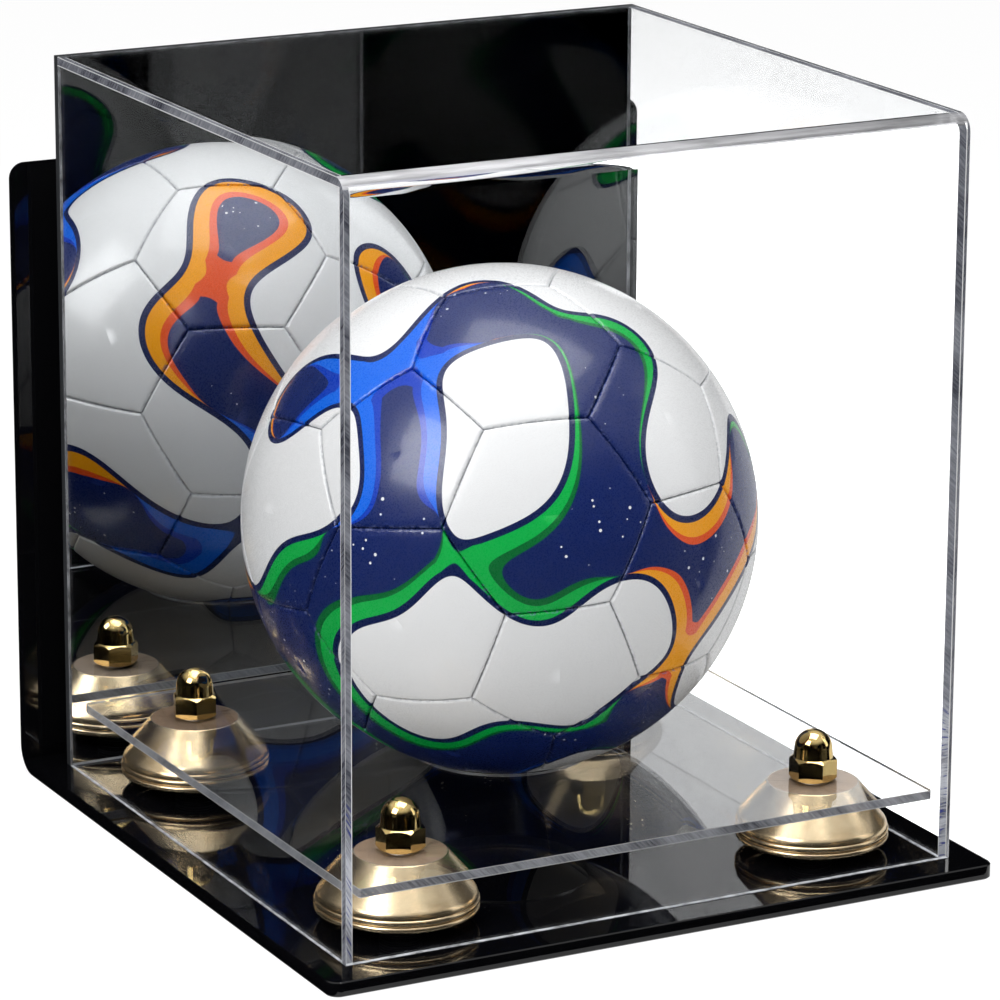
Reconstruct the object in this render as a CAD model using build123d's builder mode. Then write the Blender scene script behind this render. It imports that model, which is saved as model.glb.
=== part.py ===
import os
from math import cos, pi, radians, sin, sqrt

from build123d import *

os.makedirs("parts", exist_ok=True)

# Driving dimensions in millimetres.
# The origin is on the underside of the base, at the middle of its footprint.

# Wall mount base: one black sheet bent into an L, larger than the cover by its margins
base_side_margin = 14
base_front_margin = 15.2
base_back_gap = 14.4
base_sheet = 6.4
back_plate_height = 280
base_bend_inside_radius = 6
base_front_corner_radius = 5.5
back_plate_corner_radius = 7
base_edge_ease = 0.5
wall_hole_diameter = 6
wall_hole_spacing = 200
wall_hole_drop = 32

# Cover: a bent front and top sheet, two side panels and a mirror
cover_width = 287
cover_depth = 287
cover_height = 324
cover_sheet = 4
cover_bend_inside_radius = 4

# Ball platform, with its gaps to the cover's inside
platform_sheet = 4
platform_side_gap = 3.5
platform_front_gap = 0.6
platform_back_gap = 6.8
platform_corner_radius = 1.2
seat_hole_diameter = 78

# Riser cups, spun from sheet, with a double bead round the rim
riser_inset = 37
riser_height = 27
cup_rim_radius = 33
cup_rim_lift = 4.9
cup_bead_radius = 1.45
cup_bead_count = 2
cup_shoulder_radius = 4.5
cup_shoulder_step = 0.6
cup_cone_angle = 41
cup_top_edge_radius = 1.2
cup_wall = 1.0
cup_band_wall = 0.9

# Fasteners: M12 countersunk screws, spacer tubes and high crown acorn nuts
thread_diameter = 12
thread_play = 0.1
hole_play = 0.3
screw_head_rim = 0.3
screw_head_recess = 0.2
screw_head_land = 0.65
screw_thread_reach = 12.5
screw_end_chamfer = 1
drive_width = 8
drive_depth = 3.2
spacer_diameter = 18
nut_width = 18
nut_hex_height = 10
nut_height = 22
nut_face_radius = 8.6
nut_bottom_chamfer = 1
nut_top_chamfer = 1.3
nut_crown_radius = 8.6
nut_dome_radius = 8.2
nut_bore_depth = 15
nut_turns = {"front_left": 28, "front_right": 23, "back_left": 11, "back_right": 41}

# Ball, size 5: a bladder inside 12 five-sided and 20 six-sided panels
ball_diameter = 220.5
ball_seat_clearance = 0.3
panel_thickness = 2.8
panel_edge_radius = 1.3
seam_gap = 0.2
bladder_gap = 0.3
bladder_wall = 0.9
valve_diameter = 6
valve_play = 0.1
valve_flange_diameter = 11
valve_flange_thickness = 1.6
valve_length = 13
valve_recess = 0.3
needle_hole_diameter = 1.4
needle_hole_depth = 9
ball_turn = 20
ball_tilt = 25

# Levels and places worked out from the dimensions above
base_width = cover_width + 2 * base_side_margin
base_depth = base_front_margin + cover_depth + base_back_gap + base_sheet
front_y = -base_depth / 2
wall_y = base_depth / 2
base_top = base_sheet
cover_front_y = front_y + base_front_margin
cover_back_y = cover_front_y + cover_depth
cover_top = base_top + cover_height
inner_front_y = cover_front_y + cover_sheet
inner_top = cover_top - cover_sheet
mirror_front_y = cover_back_y - cover_sheet
platform_width = cover_width - 2 * (cover_sheet + platform_side_gap)
platform_front_y = inner_front_y + platform_front_gap
platform_back_y = mirror_front_y - platform_back_gap
platform_depth = platform_back_y - platform_front_y
platform_y = (platform_front_y + platform_back_y) / 2
cup_top = base_top + riser_height
platform_top = cup_top + platform_sheet
ball_radius = ball_diameter / 2
seat_reach = ball_radius + ball_seat_clearance
ball_z = platform_top + sqrt(seat_reach**2 - (seat_hole_diameter / 2) ** 2)
thread_radius = thread_diameter / 2
screw_hole_radius = thread_radius + hole_play

riser_x = platform_width / 2 - riser_inset
riser_places = {
    "front_left": (-riser_x, platform_front_y + riser_inset),
    "front_right": (riser_x, platform_front_y + riser_inset),
    "back_left": (-riser_x, platform_back_y - riser_inset),
    "back_right": (riser_x, platform_back_y - riser_inset),
}


def save(piece, name):
    """Labels one finished piece and writes it under its node's name."""
    piece.label = name
    export_step(piece, f"parts/{name}.step")


def group(solids):
    """Puts equal solids together as the one node that they share."""
    return Compound(children=list(solids))


# The screws' heads are as tall as the base sheet lets them be, under a thin land
head_cone_foot = screw_head_recess + screw_head_rim
head_cone_top = base_top - screw_head_land
head_radius = thread_radius + head_cone_top - head_cone_foot

# The base sheet is drawn from the side, bent at the back and extruded across
bend_outside_radius = base_bend_inside_radius + base_sheet
plate_front_y = wall_y - base_sheet
sink_radius = head_radius + head_cone_foot + thread_play
with BuildPart() as wall_mount_base:
    with BuildSketch(Plane.YZ) as side_of_base:
        with BuildLine():
            Polyline(
                (front_y, 0),
                (wall_y, 0),
                (wall_y, back_plate_height),
                (plate_front_y, back_plate_height),
                (plate_front_y, base_top),
                (front_y, base_top),
                close=True,
            )
        make_face()
        corners = side_of_base.vertices()
        outside_corner = corners.group_by(Axis.Y)[0].sort_by(Axis.X)[-1]
        inside_corner = corners.group_by(Axis.Y)[1].sort_by(Axis.X)[-1]
        fillet(outside_corner, bend_outside_radius)
        fillet(inside_corner, base_bend_inside_radius)
    extrude(amount=base_width / 2, both=True)
    upright = wall_mount_base.edges().filter_by(Axis.Z)
    fillet(upright.group_by(Axis.Y)[0], base_front_corner_radius)
    level = wall_mount_base.edges().filter_by(Axis.Y)
    fillet(level.group_by(Axis.Z)[-1], back_plate_corner_radius)
    rims = wall_mount_base.faces().filter_by(Axis.X).edges()
    rims += wall_mount_base.faces().sort_by(Axis.Y)[0].edges()
    chamfer(rims.filter_by(Axis.Y), base_edge_ease)
    with Locations([Plane((x, y, 0), z_dir=(0, 0, -1)) for x, y in riser_places.values()]):
        CounterSinkHole(
            screw_hole_radius,
            sink_radius,
            depth=base_sheet,
            counter_sink_angle=90,
        )
    wall_hole_z = back_plate_height - wall_hole_drop
    wall_holes = [(side * wall_hole_spacing / 2, plate_front_y, wall_hole_z) for side in (-1, 1)]
    with Locations([Plane(at, z_dir=(0, -1, 0)) for at in wall_holes]):
        Hole(wall_hole_diameter / 2, depth=base_sheet)
save(wall_mount_base.part, "wall_mount_base")

# The cover's front and top are one sheet, bent over the front top edge
cover_bend_outside_radius = cover_bend_inside_radius + cover_sheet
with BuildPart() as front_top_sheet:
    with BuildSketch(Plane.YZ) as side_of_sheet:
        with BuildLine():
            Polyline(
                (cover_front_y, base_top),
                (cover_front_y, cover_top),
                (mirror_front_y, cover_top),
                (mirror_front_y, inner_top),
                (inner_front_y, inner_top),
                (inner_front_y, base_top),
                close=True,
            )
        make_face()
        corners = side_of_sheet.vertices()
        fillet(corners.group_by(Axis.Y)[-1].sort_by(Axis.X)[0], cover_bend_outside_radius)
        fillet(corners.group_by(Axis.Y)[1].sort_by(Axis.X)[0], cover_bend_inside_radius)
    extrude(amount=cover_width / 2, both=True)
save(front_top_sheet.part, "front_top_sheet")

# The side panels stand inside the bent sheet and follow its bend
with BuildPart() as side_panel:
    with BuildSketch(Plane.YZ) as side_outline:
        with BuildLine():
            Polyline(
                (inner_front_y, base_top),
                (inner_front_y, inner_top),
                (mirror_front_y, inner_top),
                (mirror_front_y, base_top),
                close=True,
            )
        make_face()
        front_top_corner = side_outline.vertices().group_by(Axis.Y)[-1].sort_by(Axis.X)[0]
        fillet(front_top_corner, cover_bend_inside_radius)
    extrude(amount=cover_sheet)
panel_shift = cover_width / 2 - cover_sheet
save(Pos(-cover_width / 2, 0, 0) * side_panel.part, "left_side_panel")
save(Pos(panel_shift, 0, 0) * side_panel.part, "right_side_panel")

# The mirror closes the back, across the ends of the other sheets
with BuildPart() as mirror_back_panel:
    with BuildSketch(Plane((0, mirror_front_y, base_top), x_dir=(1, 0, 0), z_dir=(0, -1, 0))):
        Rectangle(cover_width, cover_height, align=(Align.CENTER, Align.MIN))
    extrude(amount=-cover_sheet)
save(mirror_back_panel.part, "mirror_back_panel")

# The platform is a flat sheet with the ball's seat and a hole over each riser
with BuildPart() as ball_platform:
    with BuildSketch(Plane((0, platform_y, cup_top))):
        RectangleRounded(platform_width, platform_depth, platform_corner_radius)
        Circle(seat_hole_diameter / 2, mode=Mode.SUBTRACT)
    extrude(amount=platform_sheet)
    with Locations([(x, y, platform_top) for x, y in riser_places.values()]):
        Hole(screw_hole_radius, depth=platform_sheet)
save(ball_platform.part, "ball_platform")

# A riser cup is turned from its section: flat top, cone, shoulder and double bead
bead_foot = base_top + cup_rim_lift
band_top = bead_foot + 2 * cup_bead_count * cup_bead_radius
bead_axis = cup_rim_radius - cup_bead_radius
shoulder_edge = cup_rim_radius - cup_shoulder_step
shoulder_axis = shoulder_edge - cup_shoulder_radius
cone = radians(cup_cone_angle)
lean = sin(cone) / cos(cone)


def shoulder_point(radius):
    """The point where a shoulder of this radius runs into its cone."""
    return (shoulder_axis + radius * cos(cone), band_top + radius * sin(cone))


def cone_top(radius, level):
    """The point where the cone above a shoulder of this radius reaches a level."""
    start = shoulder_point(radius)
    return (start[0] - (level - start[1]) * lean, level)


with BuildPart() as riser_cup:
    with BuildSketch(Plane.XZ) as cup_section:
        with BuildLine():
            inner_radius = cup_shoulder_radius - cup_wall
            inside_top = cup_top - cup_wall
            band_inside = bead_axis - cup_band_wall
            Line((screw_hole_radius, cup_top), cone_top(cup_shoulder_radius, cup_top))
            Line(cone_top(cup_shoulder_radius, cup_top), shoulder_point(cup_shoulder_radius))
            CenterArc((shoulder_axis, band_top), cup_shoulder_radius, 0, cup_cone_angle)
            Line((shoulder_edge, band_top), (bead_axis, band_top))
            for bead in range(cup_bead_count):
                bead_middle = bead_foot + (2 * bead + 1) * cup_bead_radius
                CenterArc((bead_axis, bead_middle), cup_bead_radius, -90, 180)
            Polyline(
                (bead_axis, bead_foot),
                (band_inside, bead_foot),
                (band_inside, band_top),
                (shoulder_axis + inner_radius, band_top),
            )
            CenterArc((shoulder_axis, band_top), inner_radius, 0, cup_cone_angle)
            Line(shoulder_point(inner_radius), cone_top(inner_radius, inside_top))
            Line(cone_top(inner_radius, inside_top), (screw_hole_radius, inside_top))
            Line((screw_hole_radius, inside_top), (screw_hole_radius, cup_top))
        make_face()
        top_edge = cup_section.vertices().group_by(Axis.Y)[-1].sort_by(Axis.X)[-1]
        fillet(top_edge, cup_top_edge_radius)
    revolve(axis=Axis.Z)
for place, (x, y) in riser_places.items():
    save(Pos(x, y, 0) * riser_cup.part, f"riser_cup_{place}")

# A spacer tube holds each cup's top up, so that its rim stays off the base
with BuildPart() as spacer_tube:
    with BuildSketch(Plane.XY.offset(base_top)):
        Circle(spacer_diameter / 2)
        Circle(screw_hole_radius, mode=Mode.SUBTRACT)
    extrude(amount=riser_height - cup_wall)
for place, (x, y) in riser_places.items():
    save(Pos(x, y, 0) * spacer_tube.part, f"spacer_tube_{place}")

# Countersunk screws come from below, flush with the underside
screw_top = platform_top + screw_thread_reach
with BuildPart() as machine_screw:
    with BuildSketch(Plane.XZ):
        with BuildLine():
            Polyline(
                (0, screw_head_recess),
                (head_radius, screw_head_recess),
                (head_radius, head_cone_foot),
                (thread_radius, head_cone_top),
                (thread_radius, screw_top - screw_end_chamfer),
                (thread_radius - screw_end_chamfer, screw_top),
                (0, screw_top),
                close=True,
            )
        make_face()
    revolve(axis=Axis.Z)
    with BuildSketch(Plane.XY.offset(screw_head_recess)):
        RegularPolygon(drive_width / 2, 6, major_radius=False)
    extrude(amount=drive_depth, mode=Mode.SUBTRACT)
screws = [Pos(x, y, 0) * machine_screw.part for x, y in riser_places.values()]
save(group(screws), "machine_screws")

# Acorn nuts: a chamfered hexagon under a tall turned crown
hexagon_corner = nut_width / sqrt(3)
with BuildPart() as dome_nut:
    with BuildSketch():
        RegularPolygon(nut_width / 2, 6, major_radius=False)
    extrude(amount=nut_height)
    with BuildSketch(Plane.XZ):
        with BuildLine():
            dome_foot = nut_height - nut_dome_radius
            Polyline(
                (0, nut_height),
                (0, 0),
                (nut_face_radius, 0),
                (hexagon_corner, nut_bottom_chamfer),
                (hexagon_corner, nut_hex_height - nut_top_chamfer),
                (nut_crown_radius, nut_hex_height),
                (nut_dome_radius, dome_foot),
            )
            CenterArc((0, dome_foot), nut_dome_radius, 0, 90)
        make_face()
    revolve(axis=Axis.Z, mode=Mode.INTERSECT)
    with Locations(Plane((0, 0, 0), z_dir=(0, 0, -1))):
        Hole(thread_radius + thread_play, depth=nut_bore_depth)
nuts = []
for place, (x, y) in riser_places.items():
    nuts.append(Pos(x, y, platform_top) * Rot(0, 0, nut_turns[place]) * dome_nut.part)
save(group(nuts), "dome_nuts")

# The ball's panels lie on the faces of a truncated icosahedron
golden = (1 + sqrt(5)) / 2
edge_share = 2 / sqrt(9 * golden + 10)
blank_margin = 2
cap_angle = 45
ball_turned = Pos(0, platform_y, ball_z) * Rot(0, 0, ball_turn) * Rot(ball_tilt, 0, 0)
corner_signs = [(a, b) for a in (-1, 1) for b in (-1, 1)]
five_sided = [Vector(0, a, b * golden) for a, b in corner_signs]
five_sided += [Vector(a, b * golden, 0) for a, b in corner_signs]
five_sided += [Vector(b * golden, 0, a) for a, b in corner_signs]


def near(a, b):
    """Whether two of the icosahedron's corners share an edge, which is 2 long."""
    return abs((a - b).length - 2) < 0.01


six_sided = [
    (a, b, c)
    for i, a in enumerate(five_sided)
    for j, b in enumerate(five_sided[i + 1 :], i + 1)
    for c in five_sided[j + 1 :]
    if near(a, b) and near(b, c) and near(a, c)
]


def ball_panel(sides):
    """One panel about the Z axis, cut from a cap of the ball, with a corner towards X."""
    corner = ball_radius * edge_share / (2 * sin(pi / sides))
    distance = sqrt(ball_radius**2 - corner**2)
    corner_gap = seam_gap / 2 / cos(pi / sides)
    inner_radius = ball_radius - panel_thickness
    blank_foot = distance * inner_radius / ball_radius - blank_margin
    with BuildPart() as panel:
        for level in (blank_foot, ball_radius + blank_margin):
            with BuildSketch(Plane.XY.offset(level)):
                RegularPolygon(corner * level / distance - corner_gap, sides)
        loft(ruled=True)
        with BuildSketch(Plane.XZ):
            with BuildLine():
                outer = CenterArc((0, 0), ball_radius, 90 - cap_angle, cap_angle)
                inner = CenterArc((0, 0), inner_radius, 90 - cap_angle, cap_angle)
                Line(outer @ 0, inner @ 0)
                Line(outer @ 1, inner @ 1)
            make_face()
        revolve(axis=Axis.Z, mode=Mode.INTERSECT)
        outer_face = panel.faces().sort_by(Axis.Z)[-1]
        fillet(outer_face.edges(), panel_edge_radius)
    return panel.part


def panel_place(axis, corner):
    """Turns a panel's Z axis to its place on the ball, with X towards a corner."""
    return Plane((0, 0, 0), x_dir=corner - axis * corner.dot(axis), z_dir=axis).location


five_sided_places = []
for centre in five_sided:
    neighbour = next(other for other in five_sided if near(centre, other))
    five_sided_places.append(panel_place(centre.normalized(), neighbour))
six_sided_places = []
for a, b, c in six_sided:
    six_sided_places.append(panel_place((a + b + c).normalized(), a * 2 + b))

pentagon = ball_panel(5)
hexagon = ball_panel(6)

# The valve comes out through the middle of the six-sided panel that faces right
valve_place = max(six_sided_places, key=lambda at: (ball_turned * at).z_axis.direction.X)
valve_hole_radius = valve_diameter / 2 + valve_play
with BuildPart() as valve_panel:
    add(hexagon)
    with Locations((0, 0, ball_radius)):
        Hole(valve_hole_radius, depth=2 * panel_thickness)

whole_panels = [ball_turned * at * hexagon for at in six_sided_places if at is not valve_place]
save(group([*whole_panels, ball_turned * valve_place * valve_panel.part]), "ball_hexagon_panels")
save(group(ball_turned * at * pentagon for at in five_sided_places), "ball_pentagon_panels")

# The bladder is hollow and keeps the valve in a hole in its wall
bladder_radius = ball_radius - panel_thickness - bladder_gap
bladder_inside = bladder_radius - bladder_wall
with BuildPart() as ball_bladder:
    Sphere(bladder_radius)
    Sphere(bladder_inside, mode=Mode.SUBTRACT)
    with Locations((0, 0, bladder_radius)):
        Hole(valve_hole_radius, depth=2 * bladder_wall)
save(ball_turned * valve_place * ball_bladder.part, "ball_bladder")

# The valve is a rubber plug with a needle hole and a flange inside the bladder
valve_top = ball_radius - valve_recess
flange_radius = valve_flange_diameter / 2
flange_top = sqrt(bladder_inside**2 - flange_radius**2) - valve_play
with BuildPart() as ball_valve:
    with BuildSketch(Plane.XY.offset(valve_top)):
        Circle(valve_diameter / 2)
    extrude(amount=-valve_length)
    with BuildSketch(Plane.XY.offset(flange_top)):
        Circle(flange_radius)
    extrude(amount=-valve_flange_thickness)
    with Locations((0, 0, valve_top)):
        Hole(needle_hole_diameter / 2, depth=needle_hole_depth)
save(ball_turned * valve_place * ball_valve.part, "ball_valve")
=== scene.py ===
# Looks for the ball display case: acrylic cover with a mirror back, gold risers and a printed ball
from math import cos, pi, radians, sin, sqrt

import bpy
from mathutils import Matrix, Vector


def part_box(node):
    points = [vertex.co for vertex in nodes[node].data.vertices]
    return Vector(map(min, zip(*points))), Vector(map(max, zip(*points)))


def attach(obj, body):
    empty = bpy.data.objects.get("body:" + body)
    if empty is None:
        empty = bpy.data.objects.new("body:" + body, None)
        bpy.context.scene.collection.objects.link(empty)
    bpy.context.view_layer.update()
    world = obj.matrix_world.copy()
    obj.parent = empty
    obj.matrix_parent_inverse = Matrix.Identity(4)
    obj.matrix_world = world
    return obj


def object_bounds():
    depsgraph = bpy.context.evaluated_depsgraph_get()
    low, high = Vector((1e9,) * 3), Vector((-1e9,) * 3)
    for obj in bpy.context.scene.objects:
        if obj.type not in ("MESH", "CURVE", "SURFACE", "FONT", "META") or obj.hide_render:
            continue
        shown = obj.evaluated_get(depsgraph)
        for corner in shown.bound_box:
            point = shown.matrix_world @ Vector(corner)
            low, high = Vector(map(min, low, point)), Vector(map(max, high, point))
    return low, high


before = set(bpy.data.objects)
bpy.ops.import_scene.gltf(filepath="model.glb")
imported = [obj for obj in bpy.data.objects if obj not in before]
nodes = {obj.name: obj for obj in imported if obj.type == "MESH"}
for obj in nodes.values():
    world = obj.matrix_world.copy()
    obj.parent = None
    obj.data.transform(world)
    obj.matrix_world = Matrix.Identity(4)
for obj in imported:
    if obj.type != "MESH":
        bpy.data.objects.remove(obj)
cadLow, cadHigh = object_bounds()
bpy.ops.object.select_all(action="DESELECT")
print("frame loaded, CAD box", [round(v, 4) for v in (*cadLow, *cadHigh)])

# the camera stands front left and above, as in the photograph
camera = {
    "place": (-0.98891, -1.88437, 0.74462),
    "azimuth": -27.748,
    "elevation": 15.683,
    "roll": 0.298,
    "lens": 183.83,
    "sensor": 36,
}


def addCamera(c):
    turn, rise, roll = (radians(c[k]) for k in ("azimuth", "elevation", "roll"))
    ahead = Vector((-sin(turn) * cos(rise), cos(turn) * cos(rise), -sin(rise)))
    right = Vector((cos(turn), sin(turn), 0))
    up = right.cross(ahead)
    right, up = right * cos(roll) + up * sin(roll), up * cos(roll) - right * sin(roll)
    data = bpy.data.cameras.new("photoCamera")
    data.lens = c["lens"]
    data.sensor_width = c["sensor"]
    data.clip_start, data.clip_end = 0.05, 60
    obj = bpy.data.objects.new("photoCamera", data)
    obj.matrix_world = Matrix.LocRotScale(Vector(c["place"]), Matrix((right, up, -ahead)).transposed(), None)
    bpy.context.collection.objects.link(obj)
    bpy.context.scene.camera = obj


addCamera(camera)
bpy.context.scene.view_settings.view_transform = "Standard"

# small helpers for building node trees


def put(tree, kind, **settings):
    node = tree.nodes.new(kind)
    for name, value in settings.items():
        setattr(node, name, value)
    return node


def feed(tree, socket, value):
    if isinstance(value, bpy.types.NodeSocket):
        tree.links.new(value, socket)
    else:
        socket.default_value = value


def calc(tree, operation, *values, clamp=False):
    node = put(tree, "ShaderNodeMath", operation=operation, use_clamp=clamp)
    for socket, value in zip(node.inputs, values):
        feed(tree, socket, value)
    return node.outputs[0]


def along(tree, operation, *values):
    node = put(tree, "ShaderNodeVectorMath", operation=operation)
    for socket, value in zip(node.inputs, values):
        feed(tree, socket, value)
    return node.outputs["Value" if operation in ("DOT_PRODUCT", "LENGTH") else "Vector"]


def split(tree, vector):
    node = put(tree, "ShaderNodeSeparateXYZ")
    feed(tree, node.inputs[0], vector)
    return node.outputs


def joinXyz(tree, x, y, z):
    node = put(tree, "ShaderNodeCombineXYZ")
    for socket, value in zip(node.inputs, (x, y, z)):
        feed(tree, socket, value)
    return node.outputs[0]


def ramp(tree, value, low, high, outLow=0.0, outHigh=1.0, smooth=False):
    node = put(tree, "ShaderNodeMapRange", interpolation_type="SMOOTHSTEP" if smooth else "LINEAR")
    for socket, number in zip(node.inputs, (value, low, high, outLow, outHigh)):
        feed(tree, socket, number)
    return node.outputs[0]


def blendColour(tree, factor, a, b):
    node = put(tree, "ShaderNodeMix", data_type="RGBA")
    feed(tree, node.inputs[0], factor)
    feed(tree, node.inputs[6], (*a, 1) if isinstance(a, tuple) else a)
    feed(tree, node.inputs[7], (*b, 1) if isinstance(b, tuple) else b)
    return node.outputs[2]


def noise(tree, vector, scale, detail=2.0, roughness=0.5):
    node = put(tree, "ShaderNodeTexNoise")
    feed(tree, node.inputs["Vector"], vector)
    node.inputs["Scale"].default_value = scale
    node.inputs["Detail"].default_value = detail
    node.inputs["Roughness"].default_value = roughness
    return node.outputs["Fac"]


def place(tree):
    return put(tree, "ShaderNodeTexCoord").outputs["Object"]


def newGroup(name, inputs, outputs):
    group = bpy.data.node_groups.new(name, "ShaderNodeTree")
    for label, kind, default in inputs:
        socket = group.interface.new_socket(name=label, in_out="INPUT", socket_type=kind)
        if default is not None:
            socket.default_value = default
    for label, kind in outputs:
        group.interface.new_socket(name=label, in_out="OUTPUT", socket_type=kind)
    return group, group.nodes.new("NodeGroupInput"), group.nodes.new("NodeGroupOutput")


def useGroup(tree, group, **values):
    node = put(tree, "ShaderNodeGroup", node_tree=group)
    for label, value in values.items():
        feed(tree, node.inputs[label], value)
    return node.outputs


def newMaterial(name, **values):
    material = bpy.data.materials.new(name)
    material.use_nodes = True
    tree = material.node_tree
    shader = tree.nodes["Principled BSDF"]
    for label, value in values.items():
        socket = shader.inputs[label.replace("_", " ")]
        socket.default_value = (*value, 1) if label == "Base_Color" else value
    return material, tree, shader


def bump(tree, shader, height, strength, distance):
    node = put(tree, "ShaderNodeBump")
    node.inputs["Strength"].default_value = strength
    node.inputs["Distance"].default_value = distance
    feed(tree, node.inputs["Height"], height)
    tree.links.new(node.outputs[0], shader.inputs["Normal"])


# a thin film of smudges and dust that every polished surface shares
smudges = {"detail": 6, "spread": (0.35, 0.7), "dustScale": 900, "dust": (0.7, 0.78)}
smudge, smudgeIn, smudgeOut = newGroup(
    "smudges",
    [("Scale", "NodeSocketFloat", 18.0), ("Low", "NodeSocketFloat", 0.03), ("High", "NodeSocketFloat", 0.08)],
    [("Roughness", "NodeSocketFloat"), ("Dust", "NodeSocketFloat")],
)
smudgePlace = place(smudge)
smudgeNoise = put(smudge, "ShaderNodeTexNoise")
smudge.links.new(smudgePlace, smudgeNoise.inputs["Vector"])
smudge.links.new(smudgeIn.outputs["Scale"], smudgeNoise.inputs["Scale"])
smudgeNoise.inputs["Detail"].default_value = smudges["detail"]
smudgeEnds = smudgeIn.outputs["Low"], smudgeIn.outputs["High"]
smudge.links.new(
    ramp(smudge, smudgeNoise.outputs["Fac"], *smudges["spread"], *smudgeEnds, smooth=True),
    smudgeOut.inputs["Roughness"],
)
specks = noise(smudge, smudgePlace, smudges["dustScale"], 1)
smudge.links.new(ramp(smudge, specks, *smudges["dust"]), smudgeOut.inputs["Dust"])

# the cast clear sheet: its polished faces, and its sawn rims, which scatter part of the light
clearSheet = {
    "tint": (0.985, 0.99, 0.995),
    "ior": 1.49,
    "thickness": 0.004,
    "rimRoughness": 0.2,
    "sawDepth": 0.0001,
    # dark, pale and blue paint reflection into the rims; bright is the painted highlight of their arris
    "dark": (0.035, 0.038, 0.06),
    "pale": (0.66, 0.68, 0.74),
    "bright": (1.0, 1.0, 1.0),
    "blue": (0.05, 0.07, 0.36),
    "filmScale": 9.0,
    "filmRoughness": 0.004,
    "markedTo": (0.058, 0.078),
}
# its saw marks in patches along the rim; the patches' dark and pale tones and the blue among the marks are
# painted reflection, and the bright arris on either side is a painted highlight
saw = {
    "scale": 760,
    "waver": 0.0006,
    "marks": (0.36, 0.64, -0.45, 0.45),
    "patchScale": 42,
    "patchWaver": 0.004,
    "patches": (0.38, 0.62, -0.55, 0.45),
    "blueFrom": (0.0, 0.002, 0.0, 0.85),
    "blueMarks": (0.38, 0.42, 1.0, 0.0),
    "paintedArrisHighlight": (0.39, 0.44, 0.0, 0.95),
}

rims, rimIn, rimOut = newGroup(
    "sheetRim",
    [
        ("Across", "NodeSocketFloat", 0.5),
        ("Run", "NodeSocketFloat", 0.0),
        ("Slant", "NodeSocketFloat", 0.0),
        ("Pale", "NodeSocketFloat", 0.5),
        ("Contrast", "NodeSocketFloat", 1.0),
    ],
    [("Color", "NodeSocketColor"), ("Height", "NodeSocketFloat")],
)
slanted = calc(rims, "MULTIPLY_ADD", rimIn.outputs["Across"], rimIn.outputs["Slant"], rimIn.outputs["Run"])
waver = calc(rims, "MULTIPLY", rimIn.outputs["Across"], saw["waver"])
sawLine = noise(rims, joinXyz(rims, slanted, waver, 0.0), saw["scale"], 2, 0.6)
patchWaver = calc(rims, "MULTIPLY", rimIn.outputs["Across"], saw["patchWaver"])
patch = noise(rims, joinXyz(rims, slanted, 0.3, patchWaver), saw["patchScale"], 2)
marked = calc(rims, "ADD", ramp(rims, patch, *saw["patches"]), ramp(rims, sawLine, *saw["marks"]))
# painted reflection: the saw-mark patches shift the rim between dark and pale
tone = calc(rims, "MULTIPLY_ADD", marked, rimIn.outputs["Contrast"], rimIn.outputs["Pale"], clamp=True)
shade = blendColour(rims, tone, clearSheet["dark"], clearSheet["pale"])
fromMiddle = calc(rims, "ABSOLUTE", calc(rims, "SUBTRACT", rimIn.outputs["Across"], 0.5))
# painted reflection: blue among the saw marks on slanted rims
canBeBlue = ramp(rims, rimIn.outputs["Slant"], *saw["blueFrom"])
isBlueReflection = calc(rims, "MULTIPLY", ramp(rims, sawLine, *saw["blueMarks"]), canBeBlue)
shade = blendColour(rims, isBlueReflection, shade, clearSheet["blue"])
# painted highlight: a white line along each arris of the rim
paintedArrisHighlight = ramp(rims, fromMiddle, *saw["paintedArrisHighlight"])
rims.links.new(blendColour(rims, paintedArrisHighlight, shade, clearSheet["bright"]), rimOut.inputs["Color"])
rims.links.new(sawLine, rimOut.inputs["Height"])


# light passes the clear sheets unbent, and so do most mirrored rays at the rims
def letLightPass(tree, shader, mirroredShare=0.0):
    rays = put(tree, "ShaderNodeLightPath").outputs
    through = put(tree, "ShaderNodeBsdfTransparent")
    mix = put(tree, "ShaderNodeMixShader")
    share = calc(tree, "MAXIMUM", rays["Is Shadow Ray"], rays["Is Diffuse Ray"])
    if mirroredShare:
        isMirrored = calc(tree, "GREATER_THAN", rays["Glossy Depth"], 0.5)
        share = calc(tree, "MAXIMUM", share, calc(tree, "MULTIPLY", isMirrored, mirroredShare))
    tree.links.new(share, mix.inputs[0])
    tree.links.new(shader.outputs[0], mix.inputs[1])
    tree.links.new(through.outputs[0], mix.inputs[2])
    tree.links.new(mix.outputs[0], tree.nodes["Material Output"].inputs["Surface"])


clearFace, tree, shader = newMaterial(
    "clearSheetFace", Base_Color=clearSheet["tint"], IOR=clearSheet["ior"], Transmission_Weight=1.0
)
film = useGroup(tree, smudge, Scale=clearSheet["filmScale"], Low=0.0, High=clearSheet["filmRoughness"])
tree.links.new(film["Roughness"], shader.inputs["Roughness"])
letLightPass(tree, shader)

# each pair is the value on most rims, and the one on rims that face front or back, low down; pale and
# contrast set how strong the painted reflection is
rimKinds = {
    "bent": {"slant": 0.0, "pale": (0.27, 0.5), "contrast": (0.25, 0.75), "clear": 0.3, "passed": 0.8},
    "side": {"slant": 0.004, "pale": (0.3, 0.85), "contrast": (0.25, 0.75), "clear": 0.25, "passed": 0.8},
    "platform": {"slant": 0.0, "pale": (0.75, 0.72), "contrast": (0.25, 0.45), "clear": 0.55, "passed": 0.0},
}


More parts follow.
